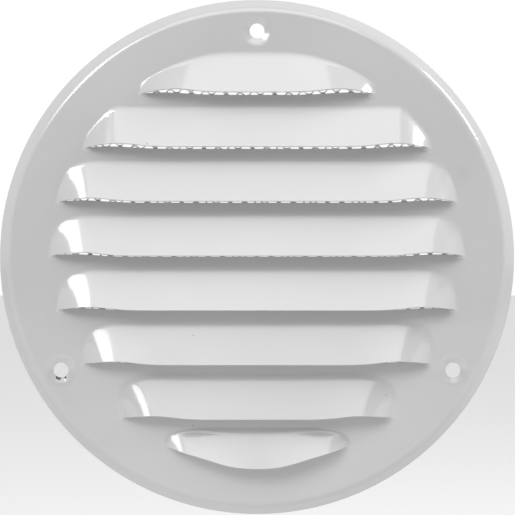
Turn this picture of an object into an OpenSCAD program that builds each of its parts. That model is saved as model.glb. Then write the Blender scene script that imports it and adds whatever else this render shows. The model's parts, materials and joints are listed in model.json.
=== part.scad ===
// Round wall vent grille: a pressed sheet disc with hooded louvres that shed rain,
// three sunk screw holes and an insect screen glued to its back.
// Each piece is drawn lying down, with z out of the wall and y up the face. stand() then
// turns it upright: X to the right, Z up, and the front towards -Y.
// The origin is the middle of the screw circle, level with the back edges of the holes.

/* [Face plate] */
// Outside diameter of the plate
face_d = 150; // [110:1:300]
// Thickness of the sheet
sheet = 0.5; // [0.4:0.05:1.2]
// How far the front face stands off the wall
rim_depth = 3.5; // [3:0.1:8]
// Angle by which the rim is turned back towards the wall
rim_slope = 48; // [35:1:75]
// Inside radius of the bend between face and rim
rim_bend = 2.4; // [1:0.1:4]

/* [Screw holes] */
// Number of screw holes, the first at the top
screw_count = 3; // [2:1:6]
// Diameter of a screw hole
screw_hole_d = 4.4; // [3:0.1:6]
// From the edge of the plate to the middle of a hole
screw_inset = 9.5; // [8:0.5:20]
// Width of the sunk ring round a hole
dimple_ring = 1.1; // [0.8:0.1:3]
// How deep a hole is sunk for its screw head
dimple_depth = 0.7; // [0.3:0.1:1.5]

/* [Louvres] */
// From the middle of a screw hole in to the round field of louvres
field_inset = 4.6; // [4:0.1:15]
// From one mouth to the next
louvre_pitch = 15.6; // [13:0.1:30]
// Flat strip between a mouth and the hood below it
strip = 2.4; // [1.5:0.1:6]
// Height of a lip above the front face
lip_rise = 5; // [3:0.1:7]
// Length over which a hood comes down at each end
end_fall = 12; // [8:0.5:18]
// Squareness of a hood's rounded ends, where 2 is an ellipse
end_square = 2.7; // [2:0.1:4]
// How far the drawn lip is pulled up behind its cut
lip_pull = 0.6; // [0.3:0.1:1]
// From each mouth's end out to the field's circle, from the top mouth down
mouth_inset = [5, 2.3, 1.2, 1, 1.2, 1.9, -0.3]; // [-1:0.1:8]
// Half the length of the curved mouth at the foot
foot_half = 26.4; // [15:0.1:60]
// Least height that the top hood may have
crown_min = 12; // [10:0.5:15]

/* [Insect screen] */
// Length of a diamond opening from knot to knot
mesh_long = 6; // [4:0.1:12]
// Height of a diamond opening from knot to knot
mesh_short = 4.5; // [3:0.1:9]
// Width of a strand
strand = 0.7; // [0.4:0.05:1.2]
// Length of a knot where four strands meet
knot = 1.2; // [0.6:0.1:2]
// Thickness of the screen
screen_t = 0.4; // [0.3:0.05:1]
// Gap between the screen's edge and the sunk screw holes
screen_gap = 0.3; // [0.2:0.1:3]

/* [Adhesive dabs] */
// Diameter of a dab
dab_d = 5.2; // [3:0.1:7]
// Height of a dab over the back of the plate
dab_h = 1.5; // [1:0.1:2.5]
// Where the dabs sit round the screen's edge, in degrees from the right
dab_at = [14, 48, 132, 166, 196, 240, 300, 344]; // [0:1:359]

/* [Hidden] */
face_r = face_d / 2;
front = dimple_depth + sheet;
back = front - sheet;
wall = front - rim_depth;
screw_r = face_r - screw_inset;
hole_r = screw_hole_d / 2;
dimple_r = hole_r + dimple_ring;
field_r = screw_r - field_inset;
hood_len = louvre_pitch - strip;
side_mouths = floor((field_r - crown_min) / louvre_pitch);
mouths = 2 * side_mouths + 1;
screen_r = screw_r - dimple_r - screen_gap;
// Cuts reach this far past the sheet
past = 1;
// Steps along a hood, closer together near its ends
steps = 24;
// Section of a hood from its fold to its lip: part of the way down, part of the rise
hood_section = [[0, 0], [0.1, 0.04], [0.25, 0.17], [0.6, 0.56], [1, 1]];
rows = len(hood_section);
// How soon from a hood's end the lip has its full pull, and its full rise
pull_power = 4;
rise_power = 2.5;
// Straight pieces that each side of the rim's bend is made of
bend_steps = 12;

// Half a chord of the louvre field
function chord(y) = sqrt(max(0, field_r ^ 2 - y ^ 2));

// Height of mouth i on the face; the last one, at the foot, follows the field's circle
function mouth_y(i, x = 0) = i < mouths ? (side_mouths - i) * louvre_pitch : -chord(x);

function mouth_half(i) = i == mouths
    ? min(foot_half, chord(foot_top()) - 1)
    : chord(mouth_y(i)) - mouth_inset[min(i, len(mouth_inset) - 1)];

function foot_top() = mouth_y(mouths - 1) - strip;

// Place of step j along hood i, from its left end to its right
function step_x(i, j) = -mouth_half(i) * cos(180 * j / steps);

// From 0 at a hood's end to 1 where its fall begins
function from_end(i, x) = min(1, (mouth_half(i) - abs(x)) / min(end_fall, mouth_half(i)));

// Share of its full height that a hood has at x, rounded off at both ends
function arch(i, x) = (1 - (1 - from_end(i, x)) ^ end_square) ^ (1 / end_square);

// The fold line above mouth i, which stays inside the field's circle
function fold_y(i, x) = i == mouths
    ? mouth_y(i, x) + (foot_top() - mouth_y(i, x)) * arch(i, x)
    : min(mouth_y(i) + hood_len * arch(i, x), chord(x));

// The lip's line: level with its cut at both ends, and pulled up from it between them
function lip_y(i, x) = mouth_y(i, x) + lip_pull * (1 - (1 - from_end(i, x)) ^ pull_power);

// Rise of the lip, which comes down to the face at both ends
function lip_z(i, x) = lip_rise * (1 - (1 - from_end(i, x)) ^ rise_power);

// A point of hood i at step j and row k, on its outside or its inside
function hood_point(i, j, k, level) =
    let (x = step_x(i, j), down = hood_section[k][0], up = hood_section[k][1])
    [x, fold_y(i, x) * (1 - down) + lip_y(i, x) * down, level + lip_z(i, x) * up];

// One hood as a closed shell. Both ends draw in to a single point of each side.
module hood(i) {
    inner = (steps - 1) * rows;
    side = inner + 2;
    points = [
        for (level = [front, back]) each concat(
            [for (j = [1 : steps - 1], k = [0 : rows - 1]) hood_point(i, j, k, level)],
            [hood_point(i, 0, 0, level), hood_point(i, steps, 0, level)]
        )
    ];
    // Number of the point at step j and row k, where s is 0 outside and 1 inside
    function at(s, j, k) = s * side
        + (j == 0 ? inner : j == steps ? inner + 1 : (j - 1) * rows + k);
    // Two triangles between four points, or one where two of the points fall together
    function skin(a, b, c, d) = a == b ? [[a, c, d]] : c == d ? [[a, b, c]] : [[a, b, c], [a, c, d]];
    faces = [
        for (j = [0 : steps - 1]) each concat(
            [for (k = [0 : rows - 2]) each
                skin(at(0, j + 1, k), at(0, j + 1, k + 1), at(0, j, k + 1), at(0, j, k))],
            [for (k = [0 : rows - 2]) each
                skin(at(1, j, k), at(1, j, k + 1), at(1, j + 1, k + 1), at(1, j + 1, k))],
            skin(at(0, j + 1, rows - 1), at(1, j + 1, rows - 1), at(1, j, rows - 1),
                at(0, j, rows - 1)),
            skin(at(0, j, 0), at(1, j, 0), at(1, j + 1, 0), at(0, j + 1, 0))
        )
    ];
    polyhedron(points, faces, convexity = 4);
}

// The opening that hood i covers, from its fold line down to its cut
module window(i) {
    top = [for (j = [0 : steps]) let (x = step_x(i, j)) [x, fold_y(i, x)]];
    low = i < mouths ? [] : [for (j = [steps - 1 : -1 : 1])
        let (x = step_x(i, j)) [x, mouth_y(i, x)]];
    translate([0, 0, back - past])
    linear_extrude(sheet + 2 * past) polygon(concat(top, low));
}

module at_screws() {
    for (n = [0 : screw_count - 1])
    rotate(90 + n * 360 / screw_count) translate([screw_r, 0, 0]) children();
}

// Points round the bend of the rim at radius r, from one angle to another
function bend(r, from, to) = [
    for (k = [0 : bend_steps]) let (a = from + (to - from) * k / bend_steps) r * [sin(a), cos(a)]
];

// Half section of the disc: flat face, bend, and the rim turned back to the wall
module disc_section() {
    outer = rim_bend + sheet;
    run = (rim_depth - outer * (1 - cos(rim_slope))) / tan(rim_slope);
    bend_x = face_r - run - outer * sin(rim_slope);
    foot = sheet / sin(rim_slope);
    start = [bend_x, front - outer];
    polygon(concat(
        [[0, back]],
        [for (p = bend(rim_bend, 0, rim_slope)) start + p],
        [[face_r - foot, wall], [face_r, wall]],
        [for (p = bend(outer, rim_slope, 0)) start + p],
        [[0, front]]
    ));
}

// The sunk ring that a screw head sits in, with the bore through it
module dimple() {
    rotate_extrude($fn = 64)
    polygon([
        [hole_r, 0],
        [dimple_r, back],
        [dimple_r, front],
        [hole_r, sheet]
    ]);
}

module face_plate() {
    color("gainsboro") {
        difference() {
            rotate_extrude($fn = 180) disc_section();
            for (i = [0 : mouths]) window(i);
            at_screws() translate([0, 0, back - past])
                cylinder(r = dimple_r, h = sheet + 2 * past, $fn = 64);
        }
        for (i = [0 : mouths]) hood(i);
        at_screws() dimple();
    }
}

// One opening of the screen between its four strands
module diamond() {
    a = (mesh_long - knot) / 2;
    b = mesh_short / 2 - strand / (2 * cos(atan2(mesh_short, mesh_long)));
    polygon([[-a, 0], [0, -b], [a, 0], [0, b]]);
}

// Expanded sheet: every other row of diamonds is set over by half a length
module insect_screen() {
    across = ceil(screen_r / mesh_long);
    up = ceil(2 * screen_r / mesh_short);
    edge = screen_r - mesh_long / 2 - strand / 2;
    color("silver")
    translate([0, 0, back - screen_t])
    linear_extrude(screen_t)
    difference() {
        circle(screen_r, $fn = 120);
        for (n = [-up : up], m = [-across : across]) {
            place = [(m + (n % 2 == 0 ? 0 : 0.5)) * mesh_long, n * mesh_short / 2];
            if (norm(place) < edge) translate(place) diamond();
        }
    }
}

// Round dabs that lap over the screen's edge on to the back of the plate
module adhesive_dabs() {
    ball = ((dab_d / 2) ^ 2 + dab_h ^ 2) / (2 * dab_h);
    color("ivory")
    difference() {
        for (a = dab_at) rotate(a) translate([screen_r, 0, back])
            intersection() {
                translate([0, 0, ball - dab_h]) sphere(ball, $fn = 48);
                translate([-dab_d, -dab_d, -2 * dab_h]) cube([2 * dab_d, 2 * dab_d, 2 * dab_h]);
            }
        translate([0, 0, back - screen_t]) cylinder(r = screen_r, h = screen_t + past, $fn = 120);
    }
}

module stand() {
    rotate([90, 0, 0]) children();
}

stand() face_plate();
stand() insect_screen();
stand() adhesive_dabs();
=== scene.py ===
# Round wall vent grille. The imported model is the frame; the pressed face plate, the expanded
# insect screen behind it and the glue dabs that hold the screen are modelled round it here.
import json
import math
import random

import bpy
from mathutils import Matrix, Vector, noise
from mathutils.geometry import delaunay_2d_cdt


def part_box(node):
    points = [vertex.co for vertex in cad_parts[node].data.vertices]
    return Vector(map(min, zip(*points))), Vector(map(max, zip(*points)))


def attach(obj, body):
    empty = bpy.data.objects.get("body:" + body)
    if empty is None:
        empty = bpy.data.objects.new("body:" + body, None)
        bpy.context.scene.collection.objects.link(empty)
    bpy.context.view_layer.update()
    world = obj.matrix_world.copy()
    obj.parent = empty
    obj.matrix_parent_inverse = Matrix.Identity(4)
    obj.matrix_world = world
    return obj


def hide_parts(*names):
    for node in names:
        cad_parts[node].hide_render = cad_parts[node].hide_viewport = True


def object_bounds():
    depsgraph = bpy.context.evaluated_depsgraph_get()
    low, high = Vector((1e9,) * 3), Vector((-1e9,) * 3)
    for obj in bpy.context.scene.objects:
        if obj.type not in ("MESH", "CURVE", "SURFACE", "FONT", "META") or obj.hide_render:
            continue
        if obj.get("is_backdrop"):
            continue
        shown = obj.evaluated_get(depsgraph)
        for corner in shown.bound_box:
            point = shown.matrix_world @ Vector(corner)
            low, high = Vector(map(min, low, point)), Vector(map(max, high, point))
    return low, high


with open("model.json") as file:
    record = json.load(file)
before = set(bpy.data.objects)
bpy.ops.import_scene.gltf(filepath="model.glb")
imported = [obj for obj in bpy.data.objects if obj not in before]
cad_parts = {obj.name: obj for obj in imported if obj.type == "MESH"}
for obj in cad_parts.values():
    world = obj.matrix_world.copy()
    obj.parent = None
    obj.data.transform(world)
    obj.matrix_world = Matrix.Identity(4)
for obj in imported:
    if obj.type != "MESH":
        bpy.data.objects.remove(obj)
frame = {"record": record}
cadBox = [list(corner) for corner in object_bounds()]

mm = 0.001
plateLow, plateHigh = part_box("face_plate")
screenLow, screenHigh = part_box("insect_screen")
mountDims = {mount["name"]: mount["dims"] for mount in frame["record"]["mounts"]}
screwR = mountDims["screw_holes"]["pcd_mm"] / 2
holeR = mountDims["screw_holes"]["hole_r_mm"]
screwCount = mountDims["screw_holes"]["count"]
print("frame loaded")

# All of the modelling is in millimetres on the face: x to the right, y up, z towards the viewer.


def toWorld(x, y, z):
    return Vector((x, -z, y)) * mm


def clamp(value, low=0.0, high=1.0):
    return max(low, min(high, value))


def smoothStep(value):
    v = clamp(value)
    return v * v * (3 - 2 * v)


def smoothMin(a, b, blend):
    h = clamp(0.5 + 0.5 * (b - a) / blend)
    return b * (1 - h) + a * h - blend * h * (1 - h)


def bentRamp(v, bend):
    # 0 at v = 0 and 1 at v = 1: a round bend over the first part, then straight
    if v < bend:
        return max(0.0, v) ** 2 / (2 * bend) / (1 - bend / 2)
    return (v - bend / 2) / (1 - bend / 2)


def makeMesh(name, verts, faces, normals=None):
    mesh = bpy.data.meshes.new(name)
    mesh.from_pydata(verts, [], faces)
    mesh.validate(clean_customdata=False)
    mesh.shade_smooth()
    if normals:
        mesh.normals_split_custom_set_from_vertices(normals)
    obj = bpy.data.objects.new(name, mesh)
    bpy.context.scene.collection.objects.link(obj)
    return obj


# Face plate

plate = {
    "sheet": 0.5,  # thickness
    "lipRise": 5.0,  # how far the lips stand off the face
    "rimSlope": 48.0,  # degrees by which the rim turns back
    "rimBend": 2.9,  # outside radius of that bend
    "rimSteps": 360,
    "dimpleR": 4.9,  # where the sunk ring round a hole begins
    "dimpleBend": 0.55,  # share of the ring that is round before it runs straight
    "edgeRound": 0.1,  # how far paint bulges over a cut edge
    "warp": 0.05,  # unevenness of the pressed face
    "warpSize": 42.0,
    "fill": 1.7,  # distance between points on the flat
}

louvres = {
    "pitch": 15.6,
    "count": 7,
    "strip": 2.4,  # flat between a mouth and the next hood
    "fieldInset": 4.6,  # from the screw circle in to the louvre field
    "cutInset": [5.7, 3.0, 1.9, 1.7, 1.9, 2.6, 0.4],  # from a cut's end out to the field
    "lean": [0.0, 0.0, 0.0, 0.0, 0.03, 0.12, 0.22],  # how a hood's end widens upwards
    "footHalf": 25.7,
    "tip": 1.65,  # how far a hood wraps past the end of its cut
    "endFall": 13.6,  # length of a hood's rounded end
    "endSquare": 2.65,
    "endBend": 2.0,  # soft start of the rise at the very end
    "risePower": 2.5,
    "foldBend": 0.2,  # share of a hood that the bend at its fold takes
    "pull": 0.42,  # how far the lip is drawn back behind its cut
    "pullMore": 0.4,  # and how much more near its ends
    "pullAt": 11.0,
    "pullWidth": 6.0,
    "bow": 0.7,  # how far the cut itself is drawn up near its ends
    "bowAt": 8.0,
    "bowWidth": 9.0,
    "tipRun": 1.5,  # how soon the lifted corner of the face falls back to flat
    "tipDrop": 1.0,
    "widestStep": 1.5,  # longest step between points along a hood
    "endGrid": 0.27,  # distance between the points round a cut's end
}

faceR = plateHigh.x / mm
wallZ = -plateHigh.y / mm
frontZ = -plateLow.y / mm - plate["lipRise"]
dimpleDepth = frontZ - plate["sheet"]
fieldR = screwR - louvres["fieldInset"]
hoodLen = louvres["pitch"] - louvres["strip"]


def chord(y):
    return math.sqrt(max(0.0, fieldR**2 - y**2))


def makeHoods():
    hoods = []
    for i in range(louvres["count"]):
        y = (louvres["count"] // 2 - i) * louvres["pitch"]
        cut = chord(y) - louvres["cutInset"][i]
        hoods.append({"y": y, "cut": cut, "lean": louvres["lean"][i], "foot": False})
    hoods.append({"y": -fieldR, "cut": louvres["footHalf"], "lean": 0.0, "foot": True})
    for hood in hoods:
        hood["half"] = hood["cut"] + louvres["tip"]
    return hoods


hoods = makeHoods()
footTop = hoods[-2]["y"] - louvres["strip"]


def mouthLine(hood, x):
    base = -chord(x) if hood["foot"] else hood["y"]
    away = (hood["half"] - abs(x) - louvres["bowAt"]) / louvres["bowWidth"]
    return base + louvres["bow"] * math.exp(-(away**2))


def lipLine(hood, x):
    inside = hood["cut"] - abs(x)
    rise = 1 - (1 - clamp(inside / louvres["endFall"])) ** 4
    more = math.exp(-(((inside - louvres["pullAt"]) / louvres["pullWidth"]) ** 2))
    return mouthLine(hood, x) + rise * (louvres["pull"] + louvres["pullMore"] * more)


def foldLine(hood, a):
    u = clamp((hood["half"] - abs(a)) / louvres["endFall"])
    arch = (1 - (1 - u) ** louvres["endSquare"]) ** (1 / louvres["endSquare"])
    mouth = mouthLine(hood, a)
    if hood["foot"]:
        return mouth + (footTop - mouth) * arch
    return smoothMin(mouth + (hood["y"] + hoodLen - mouth) * arch, chord(a), 1.0)


def lift(fromEnd):
    # height of the lip at a distance from the hood's end
    bend = louvres["endBend"]
    run = louvres["endFall"] - bend / 2
    u = fromEnd**2 / (2 * bend) if fromEnd < bend else fromEnd - bend / 2
    return plate["lipRise"] * (1 - (1 - clamp(u / run)) ** louvres["risePower"])


def hoodHeight(hood, x, y, side):
    # side is 1 on a lip, -1 on a cut's lower edge and 0 elsewhere
    b = y - mouthLine(hood, x)
    a = x / (1 + hood["lean"] * max(0.0, b) / hood["half"])
    fromEnd = hood["half"] - abs(a)
    if fromEnd <= 0:
        return 0.0
    if side == 1 or (side == 0 and b > 0):
        span = foldLine(hood, a) - mouthLine(hood, a)
        if span <= 0 or b >= span:
            return 0.0
        return lift(fromEnd) * bentRamp(1 - b / span, louvres["foldBend"])
    inside = max(0.0, fromEnd - louvres["tip"]) / louvres["tipRun"]
    corner = lift(min(fromEnd, louvres["tip"]))
    return corner * (1 - smoothStep(inside)) * (1 - smoothStep(-b / louvres["tipDrop"]))


def warp(x, y):
    return plate["warp"] * noise.noise(Vector((x, y, 7.0)) / plate["warpSize"])


def plateHeight(x, y, side=0, only=None):
    z = frontZ + warp(x, y)
    for hood in hoods if only is None else [only]:
        if -4 < y - (mouthLine(hood, x) if hood["foot"] else hood["y"]) < hoodLen + 1:
            z += hoodHeight(hood, x, y, side)
    return z


def plateNormal(x, y, side=0, only=None):
    d = 0.02
    slopeX = (plateHeight(x + d, y, side, only) - plateHeight(x - d, y, side, only)) / (2 * d)
    slopeY = (plateHeight(x, y + d, side, only) - plateHeight(x, y - d, side, only)) / (2 * d)
    return Vector((-slopeX, -slopeY, 1.0)).normalized()


def spread(length, first, growth, widest):
    # places from 0 to length, close together at 0 and growing apart
    places = [0.0]
    step = first
    while places[-1] < length:
        places.append(places[-1] + step)
        step = min(step * growth, widest)
    return [p * length / places[-1] for p in places]


class PointSet:
    # points on the face that keep a distance from those set before them
    def __init__(self):
        self.points = []
        self.info = []
        self.cells = {}

    def near(self, x, y, gap):
        reach = int(math.ceil(gap))
        cx, cy = math.floor(x), math.floor(y)
        for i in range(cx - reach, cx + reach + 1):
            for j in range(cy - reach, cy + reach + 1):
                for k in self.cells.get((i, j), ()):
                    p = self.points[k]
                    if (p.x - x) ** 2 + (p.y - y) ** 2 < gap * gap:
                        return True
        return False

    def add(self, x, y, gap=0.0, info=None):
        if gap and self.near(x, y, gap):
            return None
        self.points.append(Vector((x, y)))
        self.info.append(info)
        self.cells.setdefault((math.floor(x), math.floor(y)), []).append(len(self.points) - 1)
        return len(self.points) - 1


def endToEnd(half, first, growth):
    # places from -half to half, close together near both ends
    places = spread(half, first, growth, louvres["widestStep"])
    return [p - half for p in places] + [half - p for p in places[-2::-1]]


def circlePoints(x, y, r, count):
    turns = [2 * math.pi * k / count for k in range(count)]
    return [(x + r * math.cos(t), y + r * math.sin(t)) for t in turns]


def bendStart():
    slope = math.radians(plate["rimSlope"])
    drop = plate["rimBend"] * (1 - math.cos(slope))
    run = (frontZ - wallZ - drop) / math.tan(slope)
    return faceR - run - plate["rimBend"] * math.sin(slope)


screwPlaces = [
    (screwR * math.cos(t), screwR * math.sin(t))
    for t in [math.pi / 2 + 2 * math.pi * k / screwCount for k in range(screwCount)]
]


def plotFace():
    # every point of the flat face and the hoods, with the edges that must stay in the mesh
    plot = PointSet()
    edges = []

    def closedLine(places):
        ids = [plot.add(x, y) for x, y in places]
        edges.extend(zip(ids, ids[1:] + ids[:1]))
        return ids

    rimIds = closedLine(circlePoints(0, 0, bendStart(), plate["rimSteps"]))
    ringIds = [closedLine(circlePoints(x, y, plate["dimpleR"], 72)) for x, y in screwPlaces]
    for hood in hoods:
        xs = endToEnd(hood["cut"], 0.15, 1.22)
        ends = [plot.add(x, mouthLine(hood, x), 0, (hood, 0)) for x in (xs[0], xs[-1])]
        for side, line in ((1, lipLine), (-1, mouthLine)):
            ids = [plot.add(x, line(hood, x), 0, (hood, side)) for x in xs[1:-1]]
            ids = [ends[0]] + ids + [ends[1]]
            edges.extend(zip(ids, ids[1:]))
    for hood in hoods:
        xs = endToEnd(hood["cut"], 0.15, 1.22)
        for off in (0.22, 0.55):
            for x in xs[1:-1]:
                plot.add(x, lipLine(hood, x) + off, 0.16)
                plot.add(x, mouthLine(hood, x) - off, 0.16)
    for hood in hoods:
        places = endToEnd(hood["half"], 0.12, 1.2)
        rows = [-0.05, 0, 0.04, 0.08, 0.12, 0.16, 0.2, 0.27, 0.36, 0.48, 0.61, 0.74, 0.86, 0.95]
        for a in places:
            top, mouth = foldLine(hood, a), mouthLine(hood, a)
            for t in rows:
                b = (top - mouth) * (1 - t)
                x = a * (1 + hood["lean"] * b / hood["half"])
                y = mouth + b
                if abs(x) >= hood["cut"] or y > lipLine(hood, x) + 0.15:
                    plot.add(x, y, 0.17)
        grid = louvres["endGrid"]
        for sign in (-1, 1):
            for i in range(-9, 16):
                for j in range(-7, 8):
                    x = sign * (hood["half"] - i * grid)
                    y = mouthLine(hood, x) + j * grid
                    slit = lipLine(hood, x) - mouthLine(hood, x)
                    if abs(x) < hood["cut"] and -0.1 < j * grid < slit + 0.1:
                        continue
                    plot.add(x, y, 0.2)
    step = plate["fill"]
    count = int(faceR / step) + 1
    for j in range(-int(count * 1.2), int(count * 1.2) + 1):
        for i in range(-count, count + 1):
            x = (i + 0.5 * (j % 2)) * step
            y = j * step * 0.866
            if math.hypot(x, y) > bendStart() - 0.6 or insideCut(x, y, 0.3):
                continue
            if any(math.hypot(x - sx, y - sy) < plate["dimpleR"] + 0.6 for sx, sy in screwPlaces):
                continue
            plot.add(x, y, step * 0.62)
    return plot, edges, rimIds, ringIds


def insideCut(x, y, margin=0.0):
    for hood in hoods:
        if abs(x) < hood["cut"]:
            if mouthLine(hood, x) - margin < y < lipLine(hood, x) + margin:
                return True
    return False


def buildSkin():
    # the plate's front as one skin: points, normals, triangles and quads
    plot, edges, rimIds, ringIds = plotFace()
    flat, _, faces, origins, _, _ = delaunay_2d_cdt(plot.points, edges, [], 0, 1e-6, True)
    print("face points", len(plot.points), "triangles", len(faces))
    newId = {}
    for k, olds in enumerate(origins):
        for old in olds:
            newId[old] = k
    verts, normals = [], []
    for k, p in enumerate(flat):
        hood, side = next((plot.info[o] for o in origins[k] if plot.info[o]), (None, 0))
        verts.append(Vector((p.x, p.y, plateHeight(p.x, p.y, side, hood))))
        normals.append(plateNormal(p.x, p.y, side, hood))
    kept = []
    for face in faces:
        x = sum(flat[k].x for k in face) / 3
        y = sum(flat[k].y for k in face) / 3
        if insideCut(x, y) or math.hypot(x, y) > bendStart():
            continue
        if any(math.hypot(x - sx, y - sy) < plate["dimpleR"] * 0.999 for sx, sy in screwPlaces):
            continue
        kept.append(tuple(face))
    addRim(verts, normals, kept, [newId[k] for k in rimIds])
    for place, ids in zip(screwPlaces, ringIds):
        addDimple(verts, normals, kept, place, [newId[k] for k in ids])
    return verts, normals, kept


def addRings(verts, normals, faces, centre, firstIds, rings, outward):
    # rings of (radius, height, angle of the normal from the face's normal)
    ids = firstIds
    count = len(firstIds)
    for r, z, tilt in rings:
        nextIds = []
        for k in range(count):
            turn = 2 * math.pi * k / count
            x, y = centre[0] + r * math.cos(turn), centre[1] + r * math.sin(turn)
            d = 0.1
            lean = Vector((warp(x + d, y) - warp(x - d, y), warp(x, y + d) - warp(x, y - d), 0.0)) / (2 * d)
            side = math.sin(tilt)
            n = Vector((side * math.cos(turn), side * math.sin(turn), math.cos(tilt)))
            verts.append(Vector((x, y, z + warp(x, y))))
            normals.append((n - lean * n.z).normalized())
            nextIds.append(len(verts) - 1)
        for k in range(count):
            m = (k + 1) % count
            quad = (ids[k], nextIds[k], nextIds[m], ids[m])
            faces.append(quad if outward else quad[::-1])
        ids = nextIds
    return ids


def addRim(verts, normals, faces, ids):
    slope = math.radians(plate["rimSlope"])
    r = plate["rimBend"]
    start = bendStart()
    rings = []
    for k in range(1, 11):
        t = slope * k / 10
        rings.append((start + r * math.sin(t), frontZ - r * (1 - math.cos(t)), t))
    fromR, fromZ, _ = rings[-1]
    for s in (0.12, 0.4, 0.7, 0.9, 1.0):
        rings.append((fromR + (faceR - fromR) * s, fromZ + (wallZ - fromZ) * s, slope))
    addRings(verts, normals, faces, (0, 0), ids, rings, True)


def addDimple(verts, normals, faces, place, ids):
    outer = plate["dimpleR"]
    rings = []
    for k in range(1, 15):
        v = k / 14
        d = 0.001
        depth = dimpleDepth * bentRamp(v, plate["dimpleBend"])
        slope = dimpleDepth * (bentRamp(v, plate["dimpleBend"]) - bentRamp(v - d, plate["dimpleBend"])) / d
        tilt = math.atan(slope / (outer - holeR))
        rings.append((outer + (holeR - outer) * v, frontZ - depth, -tilt))
    addRings(verts, normals, faces, place, ids, rings, False)


def thicken(verts, normals, faces):
    # the back skin, and a rounded edge between front and back along every cut
    count = len(verts)
    half = plate["sheet"] / 2
    back = [v - n * plate["sheet"] for v, n in zip(verts, normals)]
    allVerts = verts + back
    allNormals = normals + [-n for n in normals]
    allFaces = faces + [tuple(k + count for k in reversed(f)) for f in faces]
    openEdges = {}
    for face in faces:
        for a, b in zip(face, face[1:] + face[:1]):
            if (b, a) in openEdges:
                del openEdges[(b, a)]
            else:
                openEdges[(a, b)] = True
    outward = {}
    for a, b in openEdges:
        d = (verts[b] - verts[a]).normalized()
        for k in (a, b):
            outward[k] = outward.get(k, Vector((0, 0, 0))) + d.cross(normals[k])
    strips = {}
    steps = 5
    for k, out in outward.items():
        size = plate["edgeRound"] if out.length > 0.8 else 0.0
        x, y = verts[k].x, verts[k].y
        for hood in hoods:
            if abs(x) <= hood["cut"] and abs(y - mouthLine(hood, x)) < 2:
                size = min(size, 0.4 * (lipLine(hood, x) - mouthLine(hood, x)))
        b = out.normalized() if size else Vector((0, 0, 0))
        n = normals[k]
        middle = verts[k] - n * half
        ids = [k]
        for s in range(1, steps):
            t = math.pi * s / steps
            allVerts.append(middle + n * half * math.cos(t) + b * size * math.sin(t))
            mixed = n * math.cos(t) / half + b * math.sin(t) / max(size, 0.02)
            allNormals.append(mixed.normalized())
            ids.append(len(allVerts) - 1)
        strips[k] = ids + [k + count]
    for a, b in openEdges:
        for s in range(steps):
            allFaces.append((strips[a][s], strips[a][s + 1], strips[b][s + 1], strips[b][s]))
    return allVerts, allNormals, allFaces


def buildPlate():
    verts, normals, faces = thicken(*buildSkin())
    worldNormals = [Vector((n.x, -n.z, n.y)) for n in normals]
    return makeMesh("facePlate", [toWorld(*v) for v in verts], faces, worldNormals)


facePlate = buildPlate()
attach(facePlate, "root")
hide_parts("face_plate")
print("face plate built,", len(facePlate.data.polygons), "faces")

# Insect screen

screen = {
    "long": 4.0,  # knot to knot along the strands
    "short": 3.0,  # knot to knot across them
    "strand": 0.5,
    "thick": 0.32,
    "knot": 0.9,  # length over which two strands are joined
    "tilt": 34.0,  # degrees by which each strand is turned out of the sheet
    "turn": 6.0,  # degrees by which the screen is turned in its plane
}


def strandWave(s):
    # height of a strand's middle, from -1 at a valley to 1 at a peak, over one length
    flat = screen["knot"] / screen["long"]
    u = s % 1.0
    rise = 0.5 - flat
    if u < flat / 2 or u > 1 - flat / 2:
        return -1.0
    if u < flat / 2 + rise:
        return -1 + 2 * (u - flat / 2) / rise
    if u < flat * 1.5 + rise:
        return 1.0
    return 1 - 2 * (u - flat * 1.5 - rise) / rise


def buildScreen():
    outerR = screenHigh.x / mm - 0.1
    middleZ = -(screenLow.y + screenHigh.y) / 2 / mm
    turn = math.radians(screen["turn"])
    tilt = math.radians(screen["tilt"])
    flat = screen["knot"] / screen["long"]
    stops = [0, flat / 2, flat / 2 + (0.5 - flat) / 2, 0.5 - flat / 2, 0.5, 0.5 + flat / 2]
    stops += [0.5 + flat / 2 + (0.5 - flat) / 2, 1 - flat / 2]
    swing = (screen["short"] / 2 - screen["strand"]) / 2
    verts, faces = [], []
    rows = int(2 * outerR / screen["short"]) + 1
    corners = [(-0.5, -0.5), (0.5, -0.5), (0.5, 0.5), (-0.5, 0.5)]
    for n in range(-rows, rows + 1):
        y = (n + 0.5) * screen["short"] / 2
        reach = math.sqrt(max(0.0, outerR**2 - y**2)) - 0.3
        if reach < 2:
            continue
        phase = 0.5 * (n % 2)
        first = math.floor(-reach / screen["long"] - phase)
        last = math.ceil(reach / screen["long"] - phase)
        path = []
        for m in range(first, last + 1):
            path.extend((m + s + phase) * screen["long"] for s in stops)
        path = [-reach] + [x for x in path if abs(x) < reach - 0.05] + [reach]
        start = len(verts)
        for x in path:
            wave = strandWave(x / screen["long"] - phase)
            yMid = y + swing * wave
            zMid = middleZ + 0.06 * wave
            for cy, cz in corners:
                dy = cy * screen["strand"]
                dz = cz * screen["thick"]
                ry = dy * math.cos(tilt) - dz * math.sin(tilt)
                rz = dy * math.sin(tilt) * 0.5 + dz * math.cos(tilt)
                px, py = x, yMid + ry
                wx = px * math.cos(turn) - py * math.sin(turn)
                wy = px * math.sin(turn) + py * math.cos(turn)
                verts.append(toWorld(wx, wy, zMid + rz))
        for k in range(len(path) - 1):
            a = start + 4 * k
            for c in range(4):
                d = (c + 1) % 4
                faces.append((a + c, a + 4 + c, a + 4 + d, a + d))
        end = start + 4 * (len(path) - 1)
        faces.append((start, start + 1, start + 2, start + 3))
        faces.append((end + 3, end + 2, end + 1, end))
    obj = makeMesh("insectScreen", verts, faces)
    obj.data.set_sharp_from_angle(angle=math.radians(40))
    return obj


insectScreen = buildScreen()
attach(insectScreen, "root")
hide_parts("insect_screen")
print("insect screen built,", len(insectScreen.data.polygons), "faces")

# Adhesive dabs

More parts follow.
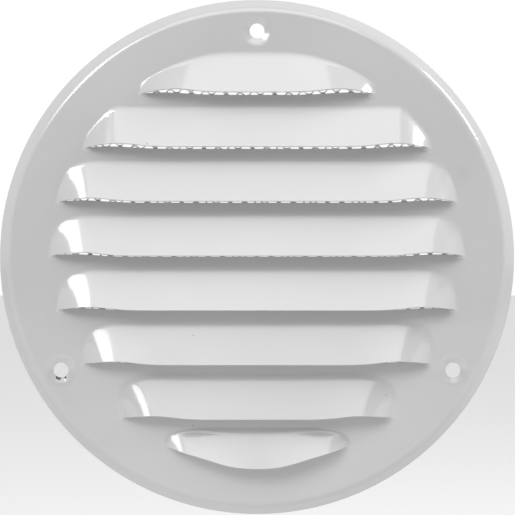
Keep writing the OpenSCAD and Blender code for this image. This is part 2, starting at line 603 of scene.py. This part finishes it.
dabs = {
    "at": [14, 48, 132, 166, 196, 240, 300, 344],  # degrees round the screen's edge
    "width": 5.2,
    "height": 1.5,
    "rough": 0.14,  # how uneven a dab's outline is
    "rings": 12,
    "segments": 40,
}


def buildDabs():
    rng = random.Random(11)
    edgeR = screenHigh.x / mm
    backZ = frontZ - plate["sheet"]
    verts, faces = [], []
    for angle in dabs["at"]:
        turn = math.radians(angle)
        cx, cy = edgeR * math.cos(turn), edgeR * math.sin(turn)
        seed = rng.uniform(0, 50)
        size = dabs["width"] / 2 * rng.uniform(0.9, 1.0)
        start = len(verts)
        for i in range(1, dabs["rings"] + 1):
            u = i / dabs["rings"]
            for k in range(dabs["segments"]):
                t = 2 * math.pi * k / dabs["segments"]
                place = Vector((math.cos(t), math.sin(t), seed))
                reach = size * (1 + dabs["rough"] * noise.noise(place * 1.3)) * math.sin(u * math.pi / 2)
                z = backZ - dabs["height"] * 0.94 * math.cos(u * math.pi / 2) ** 0.8
                x, y = cx + reach * math.cos(t), cy + reach * math.sin(t)
                verts.append(toWorld(x, y, z))
        verts.append(toWorld(cx, cy, backZ - dabs["height"] * 0.95))
        top = len(verts) - 1
        for k in range(dabs["segments"]):
            m = (k + 1) % dabs["segments"]
            faces.append((top, start + m, start + k))
            for i in range(dabs["rings"] - 1):
                a = start + i * dabs["segments"]
                b = a + dabs["segments"]
                faces.append((a + k, a + m, b + m, b + k))
        rimStart = start + (dabs["rings"] - 1) * dabs["segments"]
        faces.append(tuple(rimStart + k for k in range(dabs["segments"])))
    return makeMesh("adhesiveDabs", verts, faces)


adhesiveDabs = buildDabs()
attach(adhesiveDabs, "root")
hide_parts("adhesive_dabs")
print("adhesive dabs built")

# Finishes


class Shader:
    # a short way to add nodes to a material and join them
    def __init__(self, name):
        self.material = bpy.data.materials.new(name)
        self.material.use_nodes = True
        self.tree = self.material.node_tree
        self.surface = self.tree.nodes["Principled BSDF"]
        self.place = self.add("ShaderNodeTexCoord").outputs["Object"]

    def add(self, kind, inputs=None, **settings):
        node = self.tree.nodes.new(kind)
        for key, value in settings.items():
            setattr(node, key, value)
        for key, value in (inputs or {}).items():
            if isinstance(value, bpy.types.NodeSocket):
                self.tree.links.new(value, node.inputs[key])
            else:
                node.inputs[key].default_value = value
        return node

    def math(self, operation, a, b=0.0, c=0.0, limit=False):
        node = self.add("ShaderNodeMath", {0: a, 1: b, 2: c}, operation=operation)
        node.use_clamp = limit
        return node.outputs[0]

    def noise(self, scale, detail=3.0, rough=0.5):
        inputs = {"Vector": self.place, "Scale": scale, "Detail": detail, "Roughness": rough}
        return self.add("ShaderNodeTexNoise", inputs).outputs["Fac"]

    def spread(self, value, low, high, toLow=0.0, toHigh=1.0):
        inputs = {"Value": value, "From Min": low, "From Max": high, "To Min": toLow, "To Max": toHigh}
        return self.add("ShaderNodeMapRange", inputs).outputs["Result"]

    def blend(self, factor, a, b):
        node = self.add("ShaderNodeMix", data_type="RGBA")
        for index, value in ((0, factor), (6, a), (7, b)):
            if isinstance(value, bpy.types.NodeSocket):
                self.tree.links.new(value, node.inputs[index])
            else:
                node.inputs[index].default_value = value if index == 0 else (*value, 1.0)
        return node.outputs[2]

    def spot(self, x, y, radius, soft):
        # 1 inside a spot on the face at x, y in millimetres, 0 outside it
        where = self.add("ShaderNodeVectorMath", {0: self.place, 1: (1, 0, 1)}, operation="MULTIPLY")
        centre = (x * mm, 0, y * mm)
        far = self.add("ShaderNodeVectorMath", {0: where.outputs[0], 1: centre}, operation="DISTANCE")
        rough = self.math("MULTIPLY_ADD", self.noise(1800), radius * mm * 0.9, radius * mm * 0.55)
        return self.spread(self.math("SUBTRACT", far.outputs["Value"], rough), soft * mm, 0.0)

    def bump(self, height, strength, distance, after=None):
        inputs = {"Height": height, "Strength": strength, "Distance": distance}
        if after is not None:
            inputs["Normal"] = after
        return self.add("ShaderNodeBump", inputs).outputs["Normal"]


paint = {
    "colour": (0.61, 0.61, 0.61),
    "thinColour": (0.58, 0.58, 0.582),  # where the coat is thin
    "steel": (0.045, 0.042, 0.04),  # bare sheet in a chip
    "roughness": 0.2,
    "coatRoughness": 0.06,
    "peel": 0.05,  # height of the orange peel in millimetres
    "chips": [(-57.3, -34.7, 0.85), (-57.9, -33.6, 0.4), (-55.6, -34.9, 0.35)],
    "specks": [(-31.4, 32.4, 0.16), (-18.4, -48.7, 0.18), (-18.3, -22.6, 0.14), (37.2, -39.8, 0.12)],
    "smudge": (59.8, 24.3, 1.3),
}


def whitePaint():
    s = Shader("whitePaint")
    tone = s.spread(s.noise(22, 2), 0.35, 0.65)
    colour = s.blend(tone, paint["thinColour"], paint["colour"])
    chip = None
    for x, y, r in paint["chips"]:
        mask = s.spot(x, y, r, 0.08)
        chip = mask if chip is None else s.math("MAXIMUM", chip, mask)
    speck = None
    for x, y, r in paint["specks"]:
        mask = s.spot(x, y, r, 0.15)
        speck = mask if speck is None else s.math("MAXIMUM", speck, mask)
    x, y, r = paint["smudge"]
    smudge = s.math("MULTIPLY", s.spot(x, y, r, 1.4), 0.12)
    colour = s.blend(smudge, colour, (0.4, 0.4, 0.4))
    colour = s.blend(s.math("MULTIPLY", speck, 0.55), colour, (0.16, 0.16, 0.16))
    colour = s.blend(chip, colour, paint["steel"])
    s.tree.links.new(colour, s.surface.inputs["Base Color"])
    rough = s.spread(s.noise(60, 3), 0.3, 0.7, paint["roughness"] - 0.03, paint["roughness"] + 0.05)
    s.tree.links.new(s.math("MAXIMUM", rough, s.math("MULTIPLY", chip, 0.6)), s.surface.inputs["Roughness"])
    s.surface.inputs["Coat Weight"].default_value = 1.0
    s.surface.inputs["Coat Roughness"].default_value = paint["coatRoughness"]
    s.surface.inputs["Coat IOR"].default_value = 1.5
    slow = s.bump(s.noise(45, 1.5), 1.0, 0.00008)
    peel = s.bump(s.noise(420, 2), 0.35, paint["peel"] * mm, slow)
    sunk = s.bump(s.math("SUBTRACT", 1.0, chip), 1.0, 0.00008, peel)
    s.tree.links.new(sunk, s.surface.inputs["Normal"])
    s.tree.links.new(slow, s.surface.inputs["Coat Normal"])
    return s.material


def bareAluminium():
    s = Shader("bareAluminium")
    tone = s.spread(s.noise(90, 4), 0.3, 0.7)
    s.tree.links.new(s.blend(tone, (0.5, 0.5, 0.51), (0.66, 0.66, 0.67)), s.surface.inputs["Base Color"])
    s.surface.inputs["Metallic"].default_value = 1.0
    s.tree.links.new(s.spread(s.noise(300, 3), 0.3, 0.7, 0.3, 0.5), s.surface.inputs["Roughness"])
    s.tree.links.new(s.bump(s.noise(2500, 3), 0.3, 0.00002), s.surface.inputs["Normal"])
    return s.material


def setGlue():
    s = Shader("setGlue")
    tone = s.spread(s.noise(160, 3), 0.3, 0.7)
    s.tree.links.new(s.blend(tone, (0.7, 0.64, 0.48), (0.8, 0.76, 0.63)), s.surface.inputs["Base Color"])
    s.tree.links.new(s.spread(s.noise(500, 2), 0.3, 0.7, 0.28, 0.42), s.surface.inputs["Roughness"])
    s.surface.inputs["Subsurface Weight"].default_value = 0.3
    s.surface.inputs["Subsurface Radius"].default_value = (0.001, 0.0008, 0.0005)
    s.tree.links.new(s.bump(s.noise(700, 2), 0.4, 0.00006), s.surface.inputs["Normal"])
    return s.material


facePlate.data.materials.append(whitePaint())
insectScreen.data.materials.append(bareAluminium())
adhesiveDabs.data.materials.append(setGlue())
print("finishes made")

# Floor, surroundings and light

studio = {
    "floorZ": -0.16,
    "floorFront": 2.7,  # how far the floor comes towards the viewer
    "floorColour": 0.85,
    "wallTone": 0.12,  # the dim room in front, seen only in the gloss
    "ambient": 0.42,
    "cameraFar": 0.372,  # from the wall plane to the camera
    "frameWidth": 0.15028,  # what the picture's width spans at the wall plane
}

lamps = {
    # azimuth round the face from the right, angle off the face's axis, distance, size, power
    "key": (90.0, 48.0, 1.0, 0.7, 2.6),
    "left": (132.0, 50.0, 0.8, 0.3, 1.9),
    "right": (38.0, 84.0, 0.7, 0.24, 1.9),
}


def addPlane(name, corners, material):
    obj = makeMesh(name, [Vector(c) for c in corners], [(0, 1, 2, 3)])
    obj.data.materials.append(material)
    obj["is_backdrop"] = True
    return obj


def cameraOr(tree, extra):
    # 1 for rays from the camera and for what glass and gloss show
    path = tree.nodes.new("ShaderNodeLightPath")
    total = path.outputs["Is Camera Ray"]
    for name in extra:
        add = tree.nodes.new("ShaderNodeMath")
        add.operation = "MAXIMUM"
        tree.links.new(total, add.inputs[0])
        tree.links.new(path.outputs[name], add.inputs[1])
        total = add.outputs[0]
    return total


def floorMaterial():
    material = bpy.data.materials.new("paleFloor")
    material.use_nodes = True
    tree = material.node_tree
    surface = tree.nodes["Principled BSDF"]
    tone = studio["floorColour"]
    surface.inputs["Base Color"].default_value = (tone, tone, tone, 1.0)
    surface.inputs["Roughness"].default_value = 0.6
    surface.inputs["Specular IOR Level"].default_value = 0.1
    surface.inputs["Emission Color"].default_value = (1.0, 1.0, 1.0, 1.0)
    lift = tree.nodes.new("ShaderNodeMath")
    lift.operation = "MULTIPLY"
    lift.inputs[1].default_value = 0.3
    tree.links.new(cameraOr(tree, ["Is Glossy Ray", "Is Transmission Ray"]), lift.inputs[0])
    tree.links.new(lift.outputs[0], surface.inputs["Emission Strength"])
    return material


def roomMaterial():
    material = bpy.data.materials.new("dimRoom")
    material.use_nodes = True
    tree = material.node_tree
    tree.nodes.remove(tree.nodes["Principled BSDF"])
    glow = tree.nodes.new("ShaderNodeEmission")
    tone = studio["wallTone"]
    glow.inputs["Color"].default_value = (tone, tone, tone, 1.0)
    tree.links.new(glow.outputs[0], tree.nodes["Material Output"].inputs["Surface"])
    return material


floorZ = studio["floorZ"]
front = studio["floorFront"]
floor = addPlane(
    "floor",
    [(-4, -front, floorZ), (4, -front, floorZ), (4, 5, floorZ), (-4, 5, floorZ)],
    floorMaterial(),
)
room = addPlane(
    "room",
    [(3, -front, floorZ), (-3, -front, floorZ), (-3, -front, 2.4), (3, -front, 2.4)],
    roomMaterial(),
)
room.visible_camera = False
room.visible_diffuse = False
room.visible_shadow = False

world = bpy.data.worlds.new("studioWorld")
bpy.context.scene.world = world
world.use_nodes = True
worldTree = world.node_tree
strength = worldTree.nodes.new("ShaderNodeMapRange")
strength.inputs["To Min"].default_value = studio["ambient"]
strength.inputs["To Max"].default_value = 1.0
seen = cameraOr(worldTree, ["Is Glossy Ray", "Is Transmission Ray"])
worldTree.links.new(seen, strength.inputs["Value"])
background = worldTree.nodes["Background"]
background.inputs["Color"].default_value = (1.0, 1.0, 1.0, 1.0)
worldTree.links.new(strength.outputs["Result"], background.inputs["Strength"])

for name, (azimuth, off, far, size, power) in lamps.items():
    data = bpy.data.lights.new(name, "AREA")
    data.energy = power
    data.size = size
    lamp = bpy.data.objects.new(name, data)
    turn, tip = math.radians(azimuth), math.radians(off)
    away = Vector((math.cos(turn) * math.sin(tip), -math.cos(tip), math.sin(turn) * math.sin(tip)))
    lamp.location = away * far
    lamp.rotation_mode = "QUATERNION"
    lamp.rotation_quaternion = away.to_track_quat("Z", "Y")
    lamp.visible_camera = False
    bpy.context.scene.collection.objects.link(lamp)

cameraData = bpy.data.cameras.new("camera")
cameraData.sensor_width = 36.0
cameraData.lens = 36.0 * studio["cameraFar"] / studio["frameWidth"]
cameraData.clip_start = 0.01
camera = bpy.data.objects.new("camera", cameraData)
camera.location = (0.00014, plateHigh.y - studio["cameraFar"], -0.00015)
camera.rotation_euler = (math.radians(90), 0, 0)
bpy.context.scene.collection.objects.link(camera)
bpy.context.scene.camera = camera

bpy.context.scene.view_settings.view_transform = "Standard"
print("light and camera set")

size = {"cad": cadBox, "visual": [list(corner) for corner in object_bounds()]}
